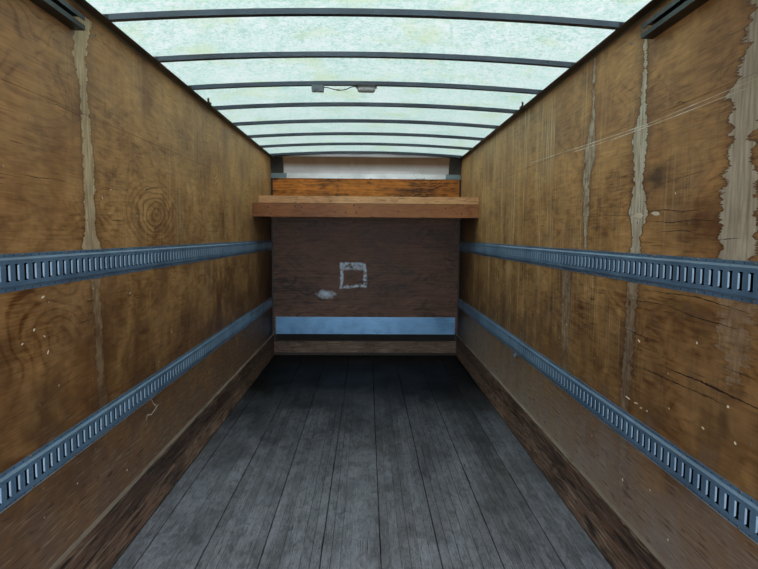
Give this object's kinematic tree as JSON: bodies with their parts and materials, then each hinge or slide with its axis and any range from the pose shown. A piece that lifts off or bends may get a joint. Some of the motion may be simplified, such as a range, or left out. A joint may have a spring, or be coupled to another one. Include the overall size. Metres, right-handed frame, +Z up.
{
  "type": "box truck cargo body",
  "caption": "Cargo box body of a box truck with plywood lined walls, slotted logistic rails, arched bows under a translucent roof, front shelf and open roll-up door.",
  "frame": {"origin": "bottom centre of the bounding box, level with the undersides of the long sills", "axes": "+X to the right, +Y from the rear doorway to the front wall, +Z up"},
  "size_m": [2.446, 7.421, 2.745],
  "materials": {
    "plywood": "satin",
    "floor_wood": "worn",
    "board_wood": "rough",
    "rail_steel": "worn satin",
    "galvanised": "satin",
    "white_skin": "gloss",
    "aluminium": "satin",
    "frame_steel": "satin",
    "bow_steel": "satin",
    "roof_sheet": "translucent",
    "cove": "gloss",
    "door_panel": "satin",
    "lamp_red": "gloss",
    "lamp_clear": "gloss",
    "box_plastic": "matte",
    "roller": "matte"
  },
  "bodies": {
    "root": {"bottom_rail_left": "aluminium", "bottom_rail_right": "aluminium", "side_panels_left": "white_skin", "side_panels_right": "white_skin", "side_lining_left": "plywood", "side_lining_right": "plywood", "kick_boards_left": "board_wood", "kick_boards_right": "board_wood", "top_rail_left": "aluminium", "top_rail_right": "aluminium", "logistic_rail_upper_left": "rail_steel", "logistic_rail_upper_right": "rail_steel", "logistic_rail_lower_left": "rail_steel", "logistic_rail_lower_right": "rail_steel", "long_sills": "frame_steel", "crossmembers": "frame_steel", "floor_boards": "floor_wood", "roof_bows": "bow_steel", "roof_sheet": "roof_sheet", "front_corner_posts": "aluminium", "front_corner_caps": "aluminium", "front_panels": "white_skin", "front_bottom_rail": "aluminium", "front_top_rail": "aluminium", "front_lining": "plywood", "front_scuff_band": "galvanised", "front_kick_board": "board_wood", "front_corner_angles": "galvanised", "front_lip": "aluminium", "front_cove_panel": "cove", "front_corner_gussets": "frame_steel", "shelf_deck": "plywood", "shelf_front_boards": "board_wood", "shelf_joists": "board_wood", "rear_posts": "galvanised", "rear_header": "galvanised", "rear_threshold": "galvanised", "rear_lamps": "lamp_red", "marker_lamps": "lamp_red", "door_tracks": "galvanised", "door_sections": "door_panel", "door_hinges": "galvanised", "door_rollers": "roller", "spring_shaft": "frame_steel", "dome_lamp": "lamp_clear", "lamp_switch": "box_plastic", "lamp_wire": "box_plastic"}
  },
  "joints": []
}
